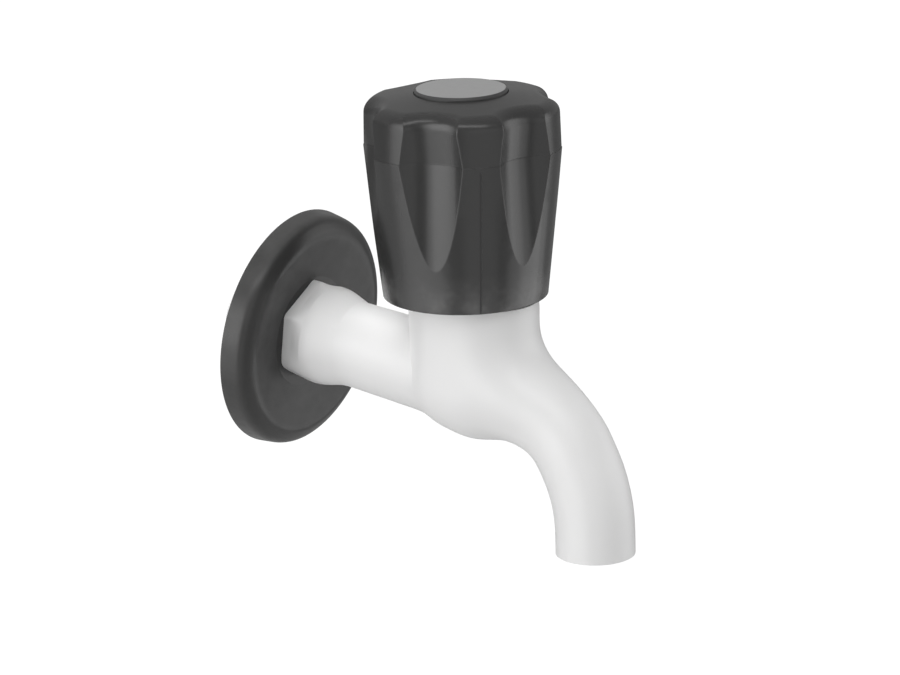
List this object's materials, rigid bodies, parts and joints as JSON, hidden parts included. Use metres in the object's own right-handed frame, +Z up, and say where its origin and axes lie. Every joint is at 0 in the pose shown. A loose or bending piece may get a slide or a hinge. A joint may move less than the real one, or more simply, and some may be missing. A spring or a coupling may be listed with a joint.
{
  "type": "bib tap",
  "caption": "Wall-mounted screw-down bib tap: threaded inlet with cover flange and spanner hexagon, curved spout, rising spindle with jumper valve, and a fluted round knob.",
  "frame": {"origin": "on the inlet axis, in the wall plane that the flange's back rim rests on", "axes": "+X out of the wall along the inlet axis, +Z up, +Y to the left of someone who looks out from the wall along +X; the headwork axis leans 7 degrees from +Z towards the wall"},
  "size_m": [0.1215, 0.062, 0.1117],
  "materials": {
    "body_plastic": "moulded, glossy off-white",
    "flange_plastic": "moulded, satin charcoal",
    "knob_plastic": "moulded, satin charcoal",
    "cap_plastic": "fine satin grey, bare",
    "headwork_brass": "turned",
    "seal_fibre": "matte",
    "packing": "matte, greased",
    "tap_washer_rubber": "matte",
    "screw_steel": "plated"
  },
  "bodies": {
    "tap": {"tap_body": "body_plastic", "wall_flange": "flange_plastic", "bonnet": "headwork_brass", "bonnet_washer": "seal_fibre", "packing_ring_1": "packing", "packing_ring_2": "packing", "gland_ring": "headwork_brass", "gland_nut": "headwork_brass"},
    "valve": {"jumper": "headwork_brass", "tap_washer": "tap_washer_rubber", "washer_nut": "headwork_brass"},
    "handle": {"spindle": "headwork_brass", "knob": "knob_plastic", "knob_insert": "headwork_brass", "screw_washer": "screw_steel", "knob_screw": "screw_steel", "knob_cap": "cap_plastic"}
  },
  "joints": [
    {"name": "valve_lift", "type": "slide", "parent": "tap", "child": "valve", "axis": [-0.1219, 0, 0.9925], "range_m": [0, 0.004]},
    {"name": "knob_turn", "type": "hinge", "parent": "valve", "child": "handle", "pos_m": [0.0548, 0, 0], "axis": [-0.1219, 0, 0.9925], "range_deg": [0, 720]}
  ],
  "couplings": [
    {"joint": "knob_turn", "follows": "valve_lift", "rad_per_m": 3141.6}
  ]
}
